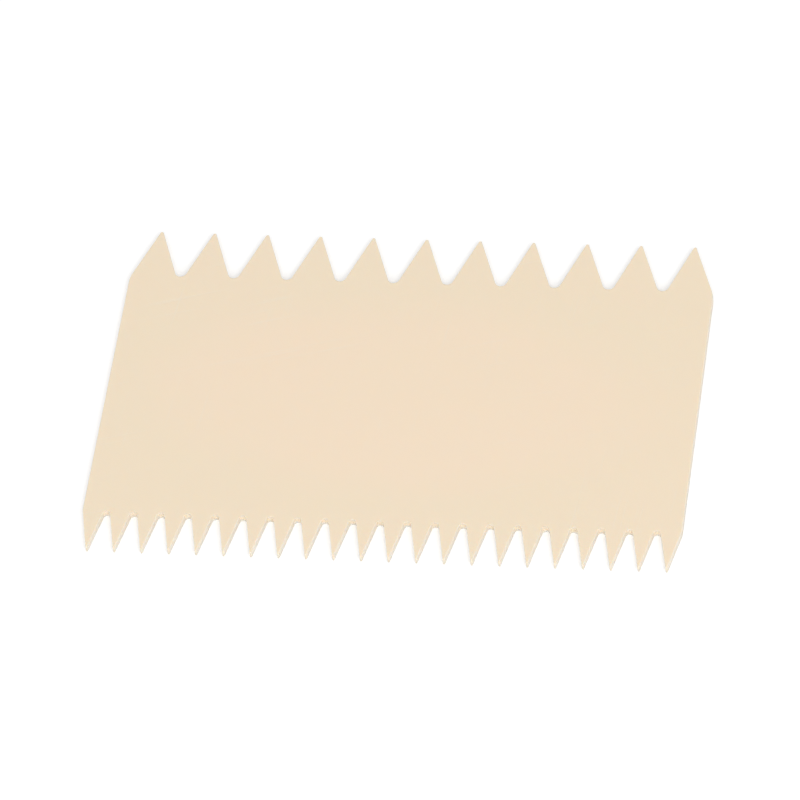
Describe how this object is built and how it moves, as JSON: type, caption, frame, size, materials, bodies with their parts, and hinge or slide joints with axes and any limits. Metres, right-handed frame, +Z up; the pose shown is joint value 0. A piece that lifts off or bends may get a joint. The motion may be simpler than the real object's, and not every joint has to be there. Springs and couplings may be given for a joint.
{
  "type": "scraper comb",
  "caption": "Flat cream plastic pastry scraper comb with coarse pointed teeth along one long edge and fine teeth along the other, for combing ridges into icing and cream.",
  "frame": {"origin": "centre of the comb's lower face, on the surface that the comb lies on", "axes": "+X along the length, +Y towards the coarse teeth, +Z up out of the upper face"},
  "size_m": [0.109, 0.0754, 0.0015],
  "materials": {
    "cream_plastic": "satin"
  },
  "bodies": {
    "root": {"web": "cream_plastic", "coarse_tooth_01": "cream_plastic", "coarse_tooth_02": "cream_plastic", "coarse_tooth_03": "cream_plastic", "coarse_tooth_04": "cream_plastic", "coarse_tooth_05": "cream_plastic", "coarse_tooth_06": "cream_plastic", "coarse_tooth_07": "cream_plastic", "coarse_tooth_08": "cream_plastic", "coarse_tooth_09": "cream_plastic", "coarse_tooth_10": "cream_plastic", "coarse_tooth_11": "cream_plastic", "fine_tooth_01": "cream_plastic", "fine_tooth_02": "cream_plastic", "fine_tooth_03": "cream_plastic", "fine_tooth_04": "cream_plastic", "fine_tooth_05": "cream_plastic", "fine_tooth_06": "cream_plastic", "fine_tooth_07": "cream_plastic", "fine_tooth_08": "cream_plastic", "fine_tooth_09": "cream_plastic", "fine_tooth_10": "cream_plastic", "fine_tooth_11": "cream_plastic", "fine_tooth_12": "cream_plastic", "fine_tooth_13": "cream_plastic", "fine_tooth_14": "cream_plastic", "fine_tooth_15": "cream_plastic", "fine_tooth_16": "cream_plastic", "fine_tooth_17": "cream_plastic", "fine_tooth_18": "cream_plastic", "fine_tooth_19": "cream_plastic", "fine_tooth_20": "cream_plastic", "fine_tooth_21": "cream_plastic", "fine_tooth_22": "cream_plastic"}
  },
  "joints": []
}
